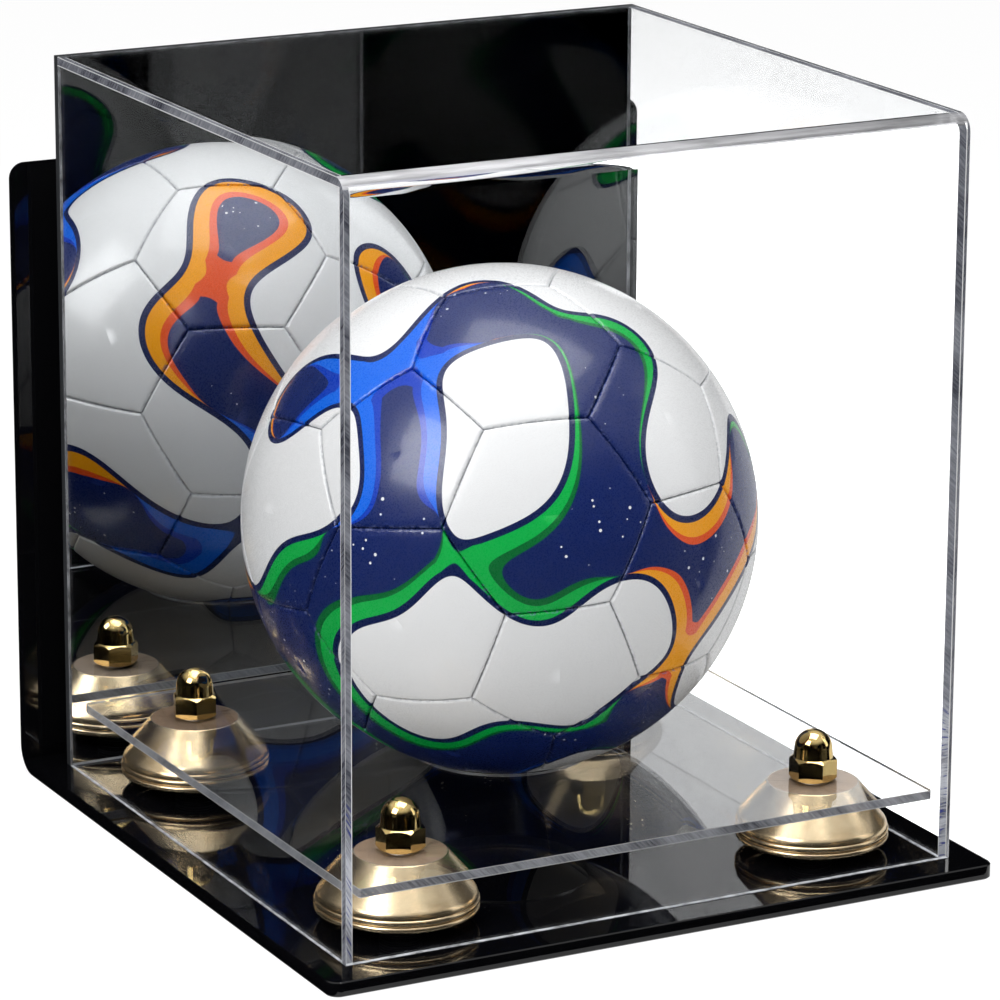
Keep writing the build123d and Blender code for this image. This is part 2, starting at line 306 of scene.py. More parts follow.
def makeRim(name, across, rim):
    material, tree, shader = newMaterial(
        name, Roughness=clearSheet["rimRoughness"], IOR=clearSheet["ior"], Transmission_Weight=rim["clear"]
    )
    xyz = split(tree, place(tree))
    run = calc(tree, "ADD", calc(tree, "ADD", xyz[0], xyz[1]), xyz[2])
    upright = calc(tree, "ABSOLUTE", split(tree, put(tree, "ShaderNodeNewGeometry").outputs["Normal"])[1])
    upright = calc(tree, "MULTIPLY", upright, ramp(tree, xyz[2], *clearSheet["markedTo"], 1.0, 0.0))
    marks = useGroup(
        tree,
        rims,
        Across=across(tree, xyz),
        Run=run,
        Slant=calc(tree, "MULTIPLY", upright, rim["slant"]),
        Pale=ramp(tree, upright, 0.0, 1.0, *rim["pale"]),
        Contrast=ramp(tree, upright, 0.0, 1.0, *rim["contrast"]),
    )
    tree.links.new(marks["Color"], shader.inputs["Base Color"])
    bump(tree, shader, marks["Height"], 0.5, clearSheet["sawDepth"])
    letLightPass(tree, shader, rim["passed"])
    return material


coverLow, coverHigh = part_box("front_top_sheet")
platformLow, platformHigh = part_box("ball_platform")


def acrossBent(tree, xyz):
    fromFront = calc(tree, "SUBTRACT", xyz[1], coverLow.y)
    fromTop = calc(tree, "SUBTRACT", coverHigh.z, xyz[2])
    return calc(tree, "DIVIDE", calc(tree, "MINIMUM", fromFront, fromTop), clearSheet["thickness"])


def acrossSide(tree, xyz):
    inward = calc(tree, "SUBTRACT", coverHigh.x, calc(tree, "ABSOLUTE", xyz[0]))
    return calc(tree, "DIVIDE", inward, clearSheet["thickness"])


def acrossPlatform(tree, xyz):
    return calc(tree, "DIVIDE", calc(tree, "SUBTRACT", xyz[2], platformLow.z), clearSheet["thickness"])


bentRim = makeRim("bentSheetRim", acrossBent, rimKinds["bent"])
sideRim = makeRim("sidePanelRim", acrossSide, rimKinds["side"])
platformRim = makeRim("platformRim", acrossPlatform, rimKinds["platform"])

# the sawn faces against the base and the mirror show as pale lines, seen through the sheet
cutFinish = {
    "pale": (0.62, 0.64, 0.68),
    "scale": 150,
    "detail": 3,
    "grain": (0.35, 0.65, 0.3, 1.0),
    "backLevel": 0.45,
}
footRim, tree, shader = newMaterial("coverFoot", Roughness=0.5, IOR=1.0)
grain = noise(tree, place(tree), cutFinish["scale"], cutFinish["detail"], 0.7)
level = ramp(tree, grain, *cutFinish["grain"])
backward = calc(tree, "ABSOLUTE", split(tree, put(tree, "ShaderNodeNewGeometry").outputs["Normal"])[1])
level = calc(tree, "MULTIPLY", level, ramp(tree, backward, 0.0, 1.0, 1.0, cutFinish["backLevel"]))
tree.links.new(blendColour(tree, level, (0.0, 0.0, 0.0), cutFinish["pale"]), shader.inputs["Base Color"])
letLightPass(tree, shader)

# the heated bend is hazy; its colour is a painted highlight, brighter towards the left lamp and broken into
# streaks
bend = {
    "roughness": 0.22,
    "clear": 0.45,
    "paintedHighlight": (-0.12, 0.13, 0.95, 0.4),
    "streakScale": 260,
    "streakRun": 0.12,
    "streaks": (0.35, 0.6, 0.6, 1.0),
    "blueGain": 1.04,
}
bendHazeAndHighlight, tree, shader = newMaterial(
    "bendHazeAndHighlight", Roughness=bend["roughness"], IOR=clearSheet["ior"], Transmission_Weight=bend["clear"]
)
xyz = split(tree, place(tree))
streak = joinXyz(tree, calc(tree, "MULTIPLY", xyz[0], bend["streakRun"]), xyz[1], xyz[2])
streak = ramp(tree, noise(tree, streak, bend["streakScale"], 2), *bend["streaks"])
# painted highlight: white on the bend, fading from left to right
paintedHighlight = calc(tree, "MULTIPLY", ramp(tree, xyz[0], *bend["paintedHighlight"], smooth=True), streak)
paintedHighlightColour = joinXyz(tree, paintedHighlight, paintedHighlight, calc(tree, "MULTIPLY", paintedHighlight, bend["blueGain"]))
tree.links.new(paintedHighlightColour, shader.inputs["Base Color"])
letLightPass(tree, shader)

# mirrored sheet: a metal film in front, grey backing paint behind, and a pale line along its foot, which is a
# painted highlight
mirrorSheet = {
    "film": (0.86, 0.875, 0.885),
    "backing": ((0.16, 0.165, 0.17), (0.2, 0.205, 0.21)),
    "edge": (0.03, 0.032, 0.035),
    # foot is the colour of a painted highlight along the mirror's foot
    "foot": (0.42, 0.44, 0.47),
    "paintedLineHeight": 0.0011,
    "roughness": 0.35,
}
mirrorFinish, tree, shader = newMaterial("mirrorSheet", Roughness=0.0, IOR=1.49)
facing = split(tree, put(tree, "ShaderNodeNewGeometry").outputs["Normal"])[1]
isFront = ramp(tree, facing, -0.9, -0.8, 1.0, 0.0)
isBack = ramp(tree, facing, 0.8, 0.9)
isLow = calc(tree, "LESS_THAN", split(tree, place(tree))[2], coverLow.z + mirrorSheet["paintedLineHeight"])
isPaintedFootLine = calc(tree, "MULTIPLY", isFront, isLow)
isFilm = calc(tree, "SUBTRACT", isFront, isPaintedFootLine)
backing = blendColour(tree, noise(tree, place(tree), 60, 5), *mirrorSheet["backing"])
plain = blendColour(tree, isBack, mirrorSheet["edge"], backing)
# painted highlight: a pale band instead of the mirror film along the foot
plain = blendColour(tree, isPaintedFootLine, plain, mirrorSheet["foot"])
tree.links.new(blendColour(tree, isFilm, plain, mirrorSheet["film"]), shader.inputs["Base Color"])
tree.links.new(isFilm, shader.inputs["Metallic"])
tree.links.new(ramp(tree, isFilm, 0, 1, mirrorSheet["roughness"], 0.0), shader.inputs["Roughness"])

# black gloss sheet of the wall-mount base
black = {
    "gloss": (0.002, 0.002, 0.0026),
    "dust": (0.4, 0.4, 0.4),
    "dustShare": 0.012,
    "filmScale": 14.0,
    "roughness": (0.015, 0.03),
}
blackSheet, tree, shader = newMaterial("blackGlossSheet", IOR=1.49)
lowRoughness, highRoughness = black["roughness"]
film = useGroup(tree, smudge, Scale=black["filmScale"], Low=lowRoughness, High=highRoughness)
tree.links.new(film["Roughness"], shader.inputs["Roughness"])
isDust = calc(tree, "MULTIPLY", film["Dust"], black["dustShare"])
tree.links.new(blendColour(tree, isDust, black["gloss"], black["dust"]), shader.inputs["Base Color"])

# spun and turned gold: fine rings round each riser's own axis
gold = {
    "satin": (0.92, 0.73, 0.465),
    "satinDark": (0.8, 0.6, 0.35),
    "satinRoughness": (0.235, 0.25),
    # top colour: a painted reflection of the platform, paler and greyer than the satin
    "top": (0.84, 0.74, 0.64),
    "topRoughness": 0.4,
    "polished": (0.90, 0.66, 0.27),
    "polishedRoughness": (0.04, 0.1),
    "filmScale": 260.0,
    "ringScale": 2600,
    "stainScale": 70,
    "stain": (0.42, 0.72),
}
riserX = abs(sum(v.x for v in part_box("riser_cup_front_right")) / 2)
platformY = (platformLow.y + platformHigh.y) / 2
riserY = abs(sum(v.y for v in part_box("riser_cup_front_right")) / 2 - platformY)

rings, _, ringsOut = newGroup("spunRings", [], [("Rings", "NodeSocketFloat"), ("Stain", "NodeSocketFloat")])
fold = along(rings, "ABSOLUTE", along(rings, "SUBTRACT", place(rings), (0, platformY, 0)))
fromAxis = along(rings, "SUBTRACT", fold, (riserX, riserY, 0))
radius = along(rings, "LENGTH", along(rings, "MULTIPLY", fromAxis, (1, 1, 0)))
ringPlace = joinXyz(rings, radius, 0.0, split(rings, fromAxis)[2])
rings.links.new(noise(rings, ringPlace, gold["ringScale"], 2, 0.5), ringsOut.inputs["Rings"])
rings.links.new(noise(rings, fromAxis, gold["stainScale"], 4, 0.55), ringsOut.inputs["Stain"])

satinGold, tree, shader = newMaterial("satinGold", Metallic=1.0)
spun = useGroup(tree, rings)
upward = split(tree, put(tree, "ShaderNodeNewGeometry").outputs["Normal"])[2]
isTop = ramp(tree, upward, 0.93, 0.98)
isStained = ramp(tree, spun["Stain"], *gold["stain"], smooth=True)
stained = blendColour(tree, isStained, gold["satin"], gold["satinDark"])
# the flat tops are rougher, and their paler, greyer colour is a painted reflection of the clear platform
# above them
tree.links.new(blendColour(tree, isTop, stained, gold["top"]), shader.inputs["Base Color"])
ringRoughness = ramp(tree, spun["Rings"], 0.3, 0.7, *gold["satinRoughness"])
tree.links.new(ramp(tree, isTop, 0.0, 1.0, ringRoughness, gold["topRoughness"]), shader.inputs["Roughness"])
bump(tree, shader, spun["Rings"], 0.1, 0.000006)

polishedGold, tree, shader = newMaterial("polishedGold", Metallic=1.0, Base_Color=gold["polished"])
lowRoughness, highRoughness = gold["polishedRoughness"]
film = useGroup(tree, smudge, Scale=gold["filmScale"], Low=lowRoughness, High=highRoughness)
tree.links.new(film["Roughness"], shader.inputs["Roughness"])
bump(tree, shader, noise(tree, place(tree), 500, 2), 0.15, 0.00004)


# pieces that are hidden, or nearly so: grain between two colours, and between two roughnesses
def makePlain(name, metallic, scale, detail, colours, roughnesses):
    material, tree, shader = newMaterial(name, Metallic=metallic)
    grain = noise(tree, place(tree), scale, detail)
    tree.links.new(blendColour(tree, grain, *colours), shader.inputs["Base Color"])
    tree.links.new(ramp(tree, grain, 0.3, 0.7, *roughnesses), shader.inputs["Roughness"])
    return material


zincSteel = makePlain("zincSteel", 1.0, 900, 4, ((0.52, 0.53, 0.54), (0.7, 0.71, 0.72)), (0.25, 0.4))
bladderRubber = makePlain("bladderRubber", 0.0, 500, 4, ((0.04,) * 3, (0.075,) * 3), (0.55, 0.75))
valveRubber = makePlain("valveRubber", 0.0, 1500, 3, ((0.03,) * 3, (0.055,) * 3), (0.4, 0.6))

spacerMetal, tree, shader = newMaterial("spacerAluminium", Metallic=1.0)
spun = useGroup(tree, rings)
spacerColour = blendColour(tree, spun["Stain"], (0.7, 0.71, 0.72), (0.8, 0.81, 0.82))
tree.links.new(spacerColour, shader.inputs["Base Color"])
tree.links.new(ramp(tree, spun["Rings"], 0.3, 0.7, 0.2, 0.35), shader.inputs["Roughness"])
print("sheet and metal finishes made")

# the ball's print: smooth flowing fields of navy and white, with tapering two-tone ribbons between them
ball = {
    "turn": 20,
    "tilt": 25,
    "frequency": 6.3,
    "shift": (1.2, 0.4, 2.2),
    "level": 0.17,
    "flat": 0.6,
    "warp": 0.13,
    "taper": (0.03, 0.9),
    "ribbon": 0.125,
    "outline": 0.026,
    "brightShare": 0.6,
    "white": (0.84, 0.845, 0.85),
    "navy": (0.006, 0.018, 0.118),
    "outlineNavy": (0.004, 0.012, 0.08),
    "ribbons": (
        {
            "bright": (0.0, 0.44, 0.065),
            "deep": (0.0, 0.15, 0.03),
            "waves": ((2.6, -1.4, 1.6, 0.4), (-1.2, 2.5, 0.8, 2.0)),
        },
        {
            "bright": (0.002, 0.13, 0.74),
            "deep": (0.0, 0.04, 0.45),
            "waves": ((-1.7, 1.2, 2.6, 3.6), (2.1, 1.6, -1.5, -0.6)),
        },
        {
            "bright": (0.97, 0.38, 0.005),
            "deep": (0.82, 0.09, 0.012),
            "waves": ((1.0, 2.4, -2.0, 5.4), (-2.5, 0.5, -1.4, 2.7)),
        },
    ),
    "edge": 0.0009,
    "dotScale": 24,
    "dots": (0.42, 0.56, -0.05, 0.17),
    "dotMargin": 0.018,
    "fiveDepth": 0.93923,
    "sixDepth": 0.91496,
    "seamSlope": 0.72,
    "pulledTo": 0.0035,
    "tickScale": 62,
    # speck is a painted glint beside the seams on the print
    "paintedGlint": (0.2, 0.24, 0.5),
    # seamShade: the painted shade along the seams
    "seamShade": (0.68, 0.69, 0.72),
    "grainScale": 160,
    "grainHeight": 0.03,
    "roughness": 0.28,
    "coat": 0.35,
    "coatRoughness": 0.06,
}
golden = (1 + sqrt(5)) / 2
ballLow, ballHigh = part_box("ball_hexagon_panels")
ballCentre = (ballLow + ballHigh) / 2
ballRadius = (ballHigh.z - ballLow.z) / 2
toWorld = Matrix.Translation(ballCentre) @ Matrix.Rotation(radians(ball["turn"]), 4, "Z")
toWorld = toWorld @ Matrix.Rotation(radians(ball["tilt"]), 4, "X")


def turned(tree, vector, kind, angle):
    node = put(tree, "ShaderNodeVectorRotate", rotation_type=kind)
    feed(tree, node.inputs["Vector"], vector)
    node.inputs["Angle"].default_value = radians(angle)
    return node.outputs[0]


def edgeOf(tree, reach):
    return ramp(tree, reach, -ball["edge"], ball["edge"])


def wave(tree, point, terms):
    total = 0.0
    for x, y, z, shift in terms:
        phase = calc(tree, "ADD", along(tree, "DOT_PRODUCT", point, (x, y, z)), shift)
        total = calc(tree, "ADD", total, calc(tree, "SINE", phase))
    return total


# how far a point is from the nearest seam, from the ball's thirty-two faces folded into one octant
def seamReach(tree, point):
    x, y, z = split(tree, along(tree, "ABSOLUTE", point))
    turns = [joinXyz(tree, *c) for c in ((x, y, z), (y, z, x), (z, x, y))]
    fiveNorm, sixNorm = sqrt(1 + golden**2) * ball["fiveDepth"], sqrt(3) * ball["sixDepth"]
    faces = [along(tree, "DOT_PRODUCT", c, (0, 1 / fiveNorm, golden / fiveNorm)) for c in turns]
    for side in (1, -1):
        axis = (side / golden / sixNorm, 0, golden / sixNorm)
        faces += [along(tree, "DOT_PRODUCT", c, axis) for c in turns]
    faces.append(along(tree, "DOT_PRODUCT", turns[0], (1 / sixNorm,) * 3))
    best, second = faces[0], -1.0
    for face in faces[1:]:
        second = calc(tree, "MAXIMUM", second, calc(tree, "MINIMUM", best, face))
        best = calc(tree, "MAXIMUM", best, face)
    return calc(tree, "MULTIPLY", calc(tree, "SUBTRACT", best, second), ballRadius / ball["seamSlope"])


def makePrint():
    group, _, out = newGroup(
        "ballPrint",
        [],
        [
            ("Color", "NodeSocketColor"),
            ("Navy", "NodeSocketFloat"),
            ("Grain", "NodeSocketFloat"),
            ("Pucker", "NodeSocketFloat"),
        ],
    )
    point = along(group, "SUBTRACT", place(group), ballCentre)
    point = turned(group, turned(group, point, "Z_AXIS", -ball["turn"]), "X_AXIS", -ball["tilt"])
    point = along(group, "NORMALIZE", point)
    x, y, z = split(group, point)
    swirl = along(group, "MULTIPLY_ADD", joinXyz(group, z, x, y), (2.3, 2.1, 1.7), (0.7, 2.1, 4.0))
    swirl = along(group, "SINE", swirl)
    bent = along(group, "NORMALIZE", along(group, "MULTIPLY_ADD", swirl, (ball["warp"],) * 3, point))

    # a triply periodic field cut by the ball, over its slope along the surface, is the way to its zero line
    angles = along(group, "MULTIPLY_ADD", bent, (ball["frequency"],) * 3, ball["shift"])
    sx, sy, sz = split(group, along(group, "SINE", angles))
    cx, cy, cz = split(group, along(group, "COSINE", angles))
    cosines = joinXyz(group, cy, cz, cx)
    field = along(group, "DOT_PRODUCT", joinXyz(group, sx, sy, sz), cosines)
    rise = along(
        group,
        "SUBTRACT",
        along(group, "MULTIPLY", joinXyz(group, cx, cy, cz), cosines),
        along(group, "MULTIPLY", joinXyz(group, sz, sx, sy), joinXyz(group, sx, sy, sz)),
    )
    outward = along(group, "DOT_PRODUCT", rise, bent)
    steep = along(group, "DOT_PRODUCT", rise, rise)
    slope = calc(group, "SUBTRACT", steep, calc(group, "MULTIPLY", outward, outward))
    slope = calc(group, "MAXIMUM", calc(group, "SQRT", calc(group, "MAXIMUM", slope, 0.0)), ball["flat"])
    slope = calc(group, "MULTIPLY", slope, ball["frequency"])
    inside = calc(group, "DIVIDE", calc(group, "SUBTRACT", field, ball["level"]), slope)

    # three slow fields choose a ribbon's colour, and it tapers where they meet
    fields = [wave(group, bent, ribbon["waves"]) for ribbon in ball["ribbons"]]
    best = calc(group, "MAXIMUM", calc(group, "MAXIMUM", fields[0], fields[1]), fields[2])
    least = calc(group, "MINIMUM", calc(group, "MINIMUM", fields[0], fields[1]), fields[2])
    total = calc(group, "ADD", calc(group, "ADD", fields[0], fields[1]), fields[2])
    middle = calc(group, "SUBTRACT", total, calc(group, "ADD", best, least))
    lead = calc(group, "SUBTRACT", best, middle)
    width = calc(group, "MULTIPLY", ramp(group, lead, *ball["taper"], smooth=True), ball["ribbon"])
    past = calc(group, "SUBTRACT", inside, ball["outline"])
    isDeep = edgeOf(group, calc(group, "SUBTRACT", past, calc(group, "MULTIPLY", width, ball["brightShare"])))
    pairs = [blendColour(group, isDeep, ribbon["bright"], ribbon["deep"]) for ribbon in ball["ribbons"]]
    colour = blendColour(group, calc(group, "COMPARE", fields[1], best, 0.00001), pairs[0], pairs[1])
    colour = blendColour(group, calc(group, "COMPARE", fields[2], best, 0.00001), colour, pairs[2])

    # small white dots in loose clusters on the navy
    dots = put(group, "ShaderNodeTexVoronoi", feature="F1")
    feed(group, dots.inputs["Vector"], point)
    dots.inputs["Scale"].default_value = ball["dotScale"]
    dots.inputs["Randomness"].default_value = 0.9
    pick = put(group, "ShaderNodeSeparateColor")
    group.links.new(dots.outputs["Color"], pick.inputs[0])
    cluster = ramp(group, noise(group, point, 2.6, 1), *ball["dots"])
    size = calc(group, "MULTIPLY", ramp(group, pick.outputs[0], 0.2, 1.0, 0.45, 1.0), cluster)
    inNavy = calc(group, "SUBTRACT", past, width)
    isNavy = edgeOf(group, inNavy)
    deepInside = edgeOf(group, calc(group, "SUBTRACT", inNavy, ball["dotMargin"]))
    isDot = calc(group, "MULTIPLY", calc(group, "LESS_THAN", dots.outputs["Distance"], size), deepInside)
    navy = blendColour(group, isDot, ball["navy"], ball["white"])
    colour = blendColour(group, edgeOf(group, past), ball["outlineNavy"], colour)
    isPrinted = edgeOf(group, inside)
    colour = blendColour(group, isPrinted, ball["white"], blendColour(group, isNavy, colour, navy))

    # the cover is drawn in beside its seams; a painted shade darkens a line along them, and painted glints of
    # pale blue dot the print beside them
    reach = seamReach(group, point)
    near = ramp(group, reach, 0.0, ball["pulledTo"], 1.0, 0.0, smooth=True)
    ticks = noise(group, point, ball["tickScale"], 1, 0.5)
    # painted shade: a dark line along each seam, broken by the ticks
    paintedSeamShade = ramp(group, reach, 0.0002, 0.0011, 1.0, 0.0)
    paintedSeamShade = calc(group, "MULTIPLY", paintedSeamShade, ramp(group, ticks, 0.42, 0.56, 0.05, 0.8))
    # painted highlight: pale blue glints beside the seams, on the print only
    paintedGlint = ramp(group, reach, 0.0006, 0.0012, 0.5, 0.0)
    paintedGlint = calc(group, "MULTIPLY", paintedGlint, ramp(group, ticks, 0.56, 0.6))
    colour = blendColour(group, calc(group, "MULTIPLY", paintedGlint, isPrinted), colour, ball["paintedGlint"])
    shaded = put(group, "ShaderNodeVectorMath", operation="MULTIPLY")
    group.links.new(colour, shaded.inputs[0])
    shaded.inputs[1].default_value = ball["seamShade"]
    group.links.new(blendColour(group, paintedSeamShade, colour, shaded.outputs[0]), out.inputs["Color"])
    group.links.new(isPrinted, out.inputs["Navy"])
    group.links.new(noise(group, point, ball["grainScale"], 3, 0.6), out.inputs["Grain"])
    pull = calc(group, "MULTIPLY", near, calc(group, "MULTIPLY_ADD", ticks, 2.0, -1.8))
    softer = ramp(group, isPrinted, 0.0, 1.0, 0.4, 1.0)
    group.links.new(calc(group, "MULTIPLY", pull, softer), out.inputs["Pucker"])
    return group


ballPrint = makePrint()


def makeBallFinish(name):
    material, tree, shader = newMaterial(name, Coat_Weight=ball["coat"], Coat_Roughness=ball["coatRoughness"])
    pattern = useGroup(tree, ballPrint)
    tree.links.new(pattern["Color"], shader.inputs["Base Color"])
    low, high = ball["roughness"] - 0.025, ball["roughness"] + 0.025
    tree.links.new(ramp(tree, pattern["Grain"], 0.3, 0.7, low, high), shader.inputs["Roughness"])
    height = calc(tree, "MULTIPLY_ADD", pattern["Grain"], ball["grainHeight"], pattern["Pucker"])
    bump(tree, shader, height, 0.6, 0.0006)
    return material


hexagonCover = makeBallFinish("gloss_white_panel")
pentagonCover = makeBallFinish("gloss_navy_panel")

threadLook = {
    "fleckScale": 700,
    "flecks": (0.5, 0.62),
    "onNavy": ((0.006, 0.007, 0.03), (0.36, 0.4, 0.62)),
    "onWhite": ((0.55, 0.56, 0.58), (0.82, 0.83, 0.85)),
}
threadFinish, tree, shader = newMaterial("seamThread", Roughness=0.5)
pattern = useGroup(tree, ballPrint)
fleck = ramp(tree, noise(tree, place(tree), threadLook["fleckScale"], 1), *threadLook["flecks"])
onNavy = blendColour(tree, fleck, *threadLook["onNavy"])
onWhite = blendColour(tree, fleck, *threadLook["onWhite"])
tree.links.new(blendColour(tree, pattern["Navy"], onWhite, onNavy), shader.inputs["Base Color"])
print("ball print made")

# each node's finish, and for clear sheets the rims' own
finishes = {
    "wall_mount_base": (blackSheet,),
    "front_top_sheet": (clearFace, bentRim, (1, 0, 0)),
    "left_side_panel": (clearFace, sideRim, (0, 1, 1)),
    "right_side_panel": (clearFace, sideRim, (0, 1, 1)),
    "mirror_back_panel": (mirrorFinish,),
    "ball_platform": (clearFace, platformRim, (1, 1, 0)),
    "riser_cup": (satinGold,),
    "spacer_tube": (spacerMetal,),
    "dome_nuts": (polishedGold,),
    "machine_screws": (zincSteel,),
    "ball_hexagon_panels": (hexagonCover,),
    "ball_pentagon_panels": (pentagonCover,),
    "ball_bladder": (bladderRubber,),
    "ball_valve": (valveRubber,),
}
rimSearch = {"touch": 0.0001, "bendHeight": 0.03}


# a clear sheet's slots: 0 its faces, 1 its rims, 2 the feet and 3 the bend
def rimOf(face, axes):
    normal, middle = face.normal, face.center
    if normal.z < -0.9 and middle.z < coverLow.z + rimSearch["touch"]:
        return 2
    if abs(normal.y) > 0.15 and abs(normal.z) > 0.5 and middle.z > coverHigh.z - rimSearch["bendHeight"]:
        return 3
    sideways = any(a and abs(c) > 0.7 for a, c in zip(axes, normal))
    return int(sideways or normal.y > 0.9 and middle.y > coverHigh.y - rimSearch["touch"])


for name, obj in nodes.items():
    finish, *rim = next(m for key, m in finishes.items() if name.startswith(key))
    obj.data.materials.clear()
    obj.data.materials.append(finish)
    if rim:
        for slot in (rim[0], footRim, bendHazeAndHighlight):
            obj.data.materials.append(slot)
        for face in obj.data.polygons:
            face.material_index = rimOf(face, rim[1])

# the sawn feet and back ends of the clear sheets glow through them where they meet the base and the mirror
cut = {"film": 0.0002, "inset": 0.0002, "gap": 0.00003, "bevel": 0.00004}


def addCutFace(name, low, high):
    bpy.ops.mesh.primitive_cube_add(size=1)
    obj = bpy.context.object
    obj.name = obj.data.name = name
    obj.scale = Vector(high) - Vector(low)
    obj.location = (Vector(low) + Vector(high)) / 2
    bpy.ops.object.transform_apply(location=True, rotation=True, scale=True)
    bpy.ops.object.mode_set(mode="EDIT")
    bpy.ops.mesh.select_all(action="SELECT")
    bpy.ops.mesh.bevel(offset=cut["bevel"], segments=1, affect="EDGES")
    bpy.ops.object.mode_set(mode="OBJECT")
    obj.data.materials.append(footRim)
    obj.select_set(False)
    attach(obj, "cover")


def addCutFaces():
    film, inset, gap = cut["film"], cut["inset"], cut["gap"]
    for name in ("front_top_sheet", "left_side_panel", "right_side_panel"):
        low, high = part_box(name)
        isBent = name == "front_top_sheet"
        left, right = low.x + inset, high.x - inset
        foot, back = low.z + gap, high.y - gap
        footBack = low.y + clearSheet["thickness"] if isBent else high.y
        addCutFace(name + "_foot", (left, low.y + inset, foot), (right, footBack - inset, foot + film))
        endFoot = high.z - clearSheet["thickness"] if isBent else low.z + film
        addCutFace(name + "_end", (left, back - film, endFoot + inset), (right, back, high.z - inset))


addCutFaces()

# the thread that closes the ball's seams: one small arched stitch, copied along all ninety seams
stitch = {"pitch": 0.0024, "length": 0.0023, "radius": 0.00036, "depth": 0.0003, "slant": 24, "sides": 5}


def addStitch():
    bpy.ops.mesh.primitive_cylinder_add(
        vertices=stitch["sides"], radius=stitch["radius"], depth=stitch["length"], rotation=(0, pi / 2, 0)
    )
    obj = bpy.context.object
    bpy.ops.object.transform_apply(location=True, rotation=True, scale=True)
    bpy.ops.object.mode_set(mode="EDIT")
    for share in (-0.25, 0.25):
        bpy.ops.mesh.select_all(action="SELECT")
        bpy.ops.mesh.bisect(plane_co=(share * stitch["length"], 0, 0), plane_no=(1, 0, 0))
    bpy.ops.mesh.select_all(action="SELECT")
    bpy.ops.mesh.normals_make_consistent(inside=False)
    bpy.ops.object.mode_set(mode="OBJECT")
    for v in obj.data.vertices:
        v.co.z -= 0.6 * stitch["depth"] * (2 * v.co.x / stitch["length"]) ** 2
    return obj


def seamEnds():
    signs = [(a, b) for a in (-1, 1) for b in (-1, 1)]
    axes = [Vector((0, a, b * golden)) for a, b in signs]
    axes += [Vector((a, b * golden, 0)) for a, b in signs]
    axes += [Vector((b * golden, 0, a)) for a, b in signs]
    near = {i: [j for j in range(12) if abs((axes[i] - axes[j]).length - 2) < 0.01] for i in range(12)}
    corner = {(i, j): (axes[i] * 2 + axes[j]).normalized() for i in range(12) for j in near[i]}
    for i in range(12):
        for j in near[i]:
            if i < j:
                yield corner[i, j], corner[j, i]
            for k in near[i]:
                if j < k and k in near[j]:
                    yield corner[i, j], corner[i, k]


def addStitches():
    model = addStitch()
    copies = []
    radius = ballRadius - stitch["depth"]
    for start, end in seamEnds():
        span = start.angle(end)
        count = int(span * ballRadius / stitch["pitch"])
        for i in range(count):
            up = start.slerp(end, (i + 0.5) / count).normalized()
            run = (end - start).normalized()
            run = (run - up * run.dot(up)).normalized()
            across = run.cross(up)
            turn = Matrix.Rotation(radians(stitch["slant"]), 3, "Z")
            axes = Matrix((across, run, up)).transposed() @ turn
            mesh = model.data.copy()
            mesh.transform(toWorld @ Matrix.Translation(up * radius) @ axes.to_4x4())
            copies.append(bpy.data.objects.new("stitch", mesh))
            bpy.context.collection.objects.link(copies[-1])
    bpy.data.objects.remove(model)
    bpy.ops.object.select_all(action="DESELECT")
    for obj in copies:
        obj.select_set(True)
    bpy.context.view_layer.objects.active = copies[0]
    bpy.ops.object.join()
    thread = bpy.context.object
    thread.name = thread.data.name = "seam_stitches"
    thread.data.materials.clear()
    thread.data.materials.append(threadFinish)
    bpy.ops.object.shade_smooth()
    thread.select_set(False)
    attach(thread, "ball")
    return len(copies)


print("stitches", addStitches())

# the room: it is white seen straight on and dark when mirrored, under a soft bright ceiling
studio = {
    "floorSize": 16,
    "floorWhite": 0.86,
    "shadowShare": 0.16,
    "glow": 1.09,
    "throughGlow": 1.9,
    "ambient": 0.3,
    "ceiling": 0.75,
    "ceilingFrom": (0.42, 0.8),
    "cardStrength": 1.42,
    "cardY": 0.6,
    "cardHeights": (0.001, 0.345),
    "cardLeft": 0.37,
    "cardRights": (0.39776, 0.57542),
    "nearFloor": (-0.1575, -0.167),
    "nearSpread": 0.2,
    "nearGlow": 0.9,
    "aim": (0, 0, 0.15),
    "lamps": (
        ("keyBox", (-1.6, -0.6, 1.5), (1.1, 1.1), 26),
        ("topBox", (0.1, -0.1, 1.7), (1.2, 1.2), 19),
        ("rightBox", (1.7, -0.9, 0.8), (0.7, 1.2), 4),
    ),
}


# whether a ray comes straight or through clear sheet, whether it is mirrored, and the room's glow for it
def seenStraight(tree):
    rays = put(tree, "ShaderNodeLightPath").outputs
    sight = calc(tree, "MAXIMUM", rays["Is Camera Ray"], rays["Is Transmission Ray"])
    plain = calc(tree, "LESS_THAN", calc(tree, "ADD", rays["Glossy Depth"], rays["Diffuse Depth"]), 0.5)
    glow = calc(tree, "MULTIPLY_ADD", rays["Is Transmission Ray"], studio["throughGlow"], studio["glow"])
    return calc(tree, "MULTIPLY", sight, plain), calc(tree, "GREATER_THAN", rays["Glossy Depth"], 0.5), glow


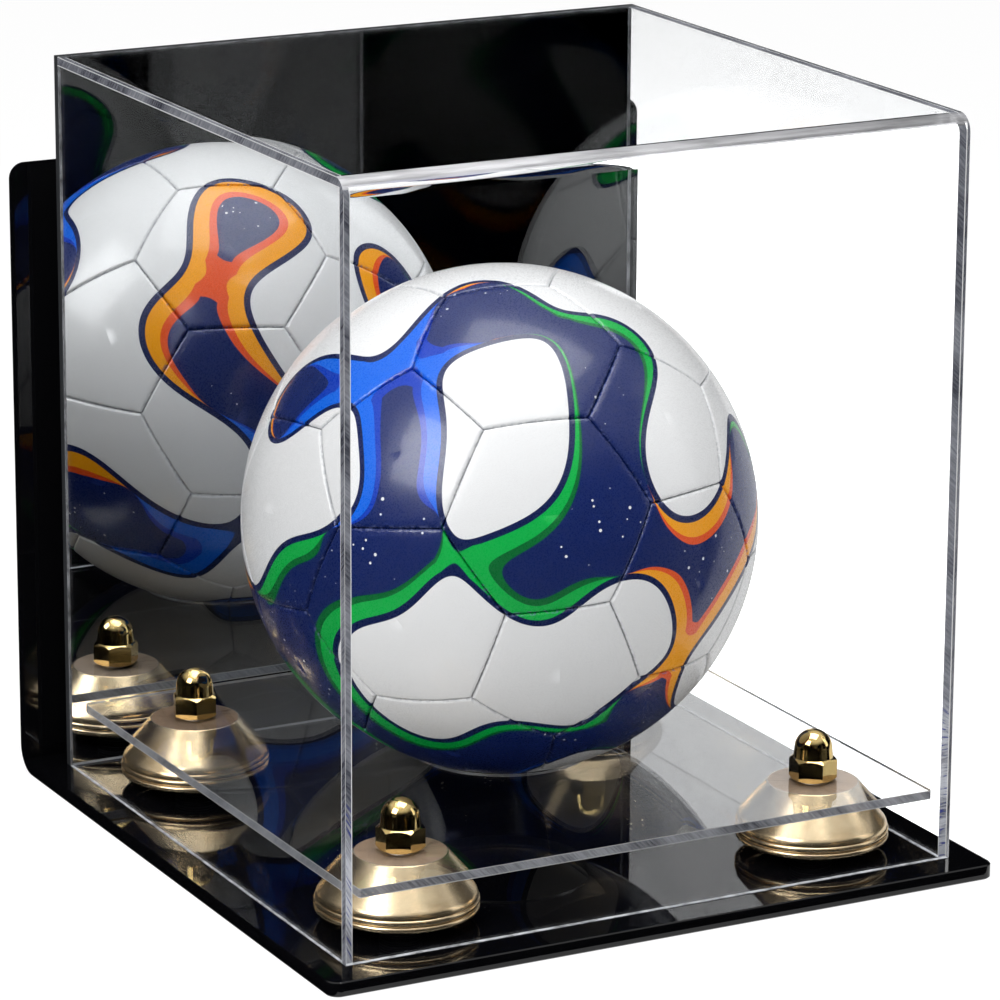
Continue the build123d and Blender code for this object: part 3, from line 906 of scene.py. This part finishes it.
def addFloor():
    bpy.ops.mesh.primitive_plane_add(size=studio["floorSize"])
    obj = bpy.context.object
    obj.name = "floor"
    material = bpy.data.materials.new("floorWhite")
    material.use_nodes = True
    tree = material.node_tree
    tree.nodes.remove(tree.nodes["Principled BSDF"])
    straight, mirrored, glow = seenStraight(tree)
    matte = put(tree, "ShaderNodeBsdfDiffuse")
    matte.inputs["Color"].default_value = (*(studio["floorWhite"],) * 3, 1)
    shine = put(tree, "ShaderNodeEmission")
    tree.links.new(glow, shine.inputs["Strength"])
    xyz = split(tree, place(tree))
    nearX, nearY = studio["nearFloor"]
    behind = calc(tree, "MAXIMUM", calc(tree, "SUBTRACT", xyz[1], cadHigh.y), 0.0)
    spread = calc(tree, "MULTIPLY_ADD", behind, studio["nearSpread"], 0.0005)
    sideways = ramp(tree, calc(tree, "SUBTRACT", xyz[0], nearX), calc(tree, "MULTIPLY", spread, -1.0), spread)
    isNear = calc(tree, "MULTIPLY", sideways, calc(tree, "GREATER_THAN", xyz[1], nearY))
    dark = put(tree, "ShaderNodeEmission")
    tree.links.new(calc(tree, "MULTIPLY", isNear, studio["nearGlow"]), dark.inputs["Strength"])
    lit = put(tree, "ShaderNodeMixShader")
    tree.links.new(calc(tree, "MULTIPLY", straight, 1 - studio["shadowShare"]), lit.inputs[0])
    tree.links.new(matte.outputs[0], lit.inputs[1])
    tree.links.new(shine.outputs[0], lit.inputs[2])
    both = put(tree, "ShaderNodeMixShader")
    tree.links.new(mirrored, both.inputs[0])
    tree.links.new(lit.outputs[0], both.inputs[1])
    tree.links.new(dark.outputs[0], both.inputs[2])
    tree.links.new(both.outputs[0], tree.nodes["Material Output"].inputs["Surface"])
    obj.data.materials.append(material)


# a white card that only mirrored rays see, wider at its top
def addCard():
    left = studio["cardLeft"]
    foot, top = studio["cardHeights"]
    footRight, topRight = studio["cardRights"]
    corners = [(left, foot), (footRight, foot), (topRight, top), (left, top)]
    mesh = bpy.data.meshes.new("whiteCard")
    mesh.from_pydata([(x, studio["cardY"], z) for x, z in corners], [], [(0, 1, 2, 3)])
    obj = bpy.data.objects.new("whiteCard", mesh)
    bpy.context.collection.objects.link(obj)
    material = bpy.data.materials.new("cardWhite")
    material.use_nodes = True
    tree = material.node_tree
    tree.nodes.remove(tree.nodes["Principled BSDF"])
    _, mirrored, _ = seenStraight(tree)
    shine = put(tree, "ShaderNodeEmission")
    shine.inputs["Strength"].default_value = studio["cardStrength"]
    clear = put(tree, "ShaderNodeBsdfTransparent")
    mix = put(tree, "ShaderNodeMixShader")
    tree.links.new(mirrored, mix.inputs[0])
    tree.links.new(clear.outputs[0], mix.inputs[1])
    tree.links.new(shine.outputs[0], mix.inputs[2])
    tree.links.new(mix.outputs[0], tree.nodes["Material Output"].inputs["Surface"])
    mesh.materials.append(material)
    obj.visible_shadow = obj.visible_diffuse = False


def addLamp(name, spot, size, power):
    data = bpy.data.lights.new(name, "AREA")
    data.shape = "RECTANGLE"
    data.size, data.size_y = size
    data.energy = power
    obj = bpy.data.objects.new(name, data)
    obj.location = spot
    obj.rotation_euler = (Vector(studio["aim"]) - Vector(spot)).to_track_quat("-Z", "Y").to_euler()
    bpy.context.collection.objects.link(obj)
    obj.visible_camera = False


addFloor()
addCard()
for lamp in studio["lamps"]:
    addLamp(*lamp)


def blendValue(tree, factor, a, b):
    kept = calc(tree, "MULTIPLY", calc(tree, "SUBTRACT", 1.0, factor), a)
    return calc(tree, "MULTIPLY_ADD", factor, b, kept)


world = bpy.data.worlds.new("studio")
bpy.context.scene.world = world
world.use_nodes = True
tree = world.node_tree
straight, mirrored, glow = seenStraight(tree)
upward = split(tree, put(tree, "ShaderNodeTexCoord").outputs["Generated"])[2]
ceiling = ramp(tree, upward, *studio["ceilingFrom"], 0.0, studio["ceiling"], smooth=True)
level = blendValue(tree, mirrored, studio["ambient"], ceiling)
level = blendValue(tree, straight, level, glow)
back = tree.nodes["Background"]
back.inputs["Color"].default_value = (1, 1, 1, 1)
tree.links.new(level, back.inputs["Strength"])
print("studio set")
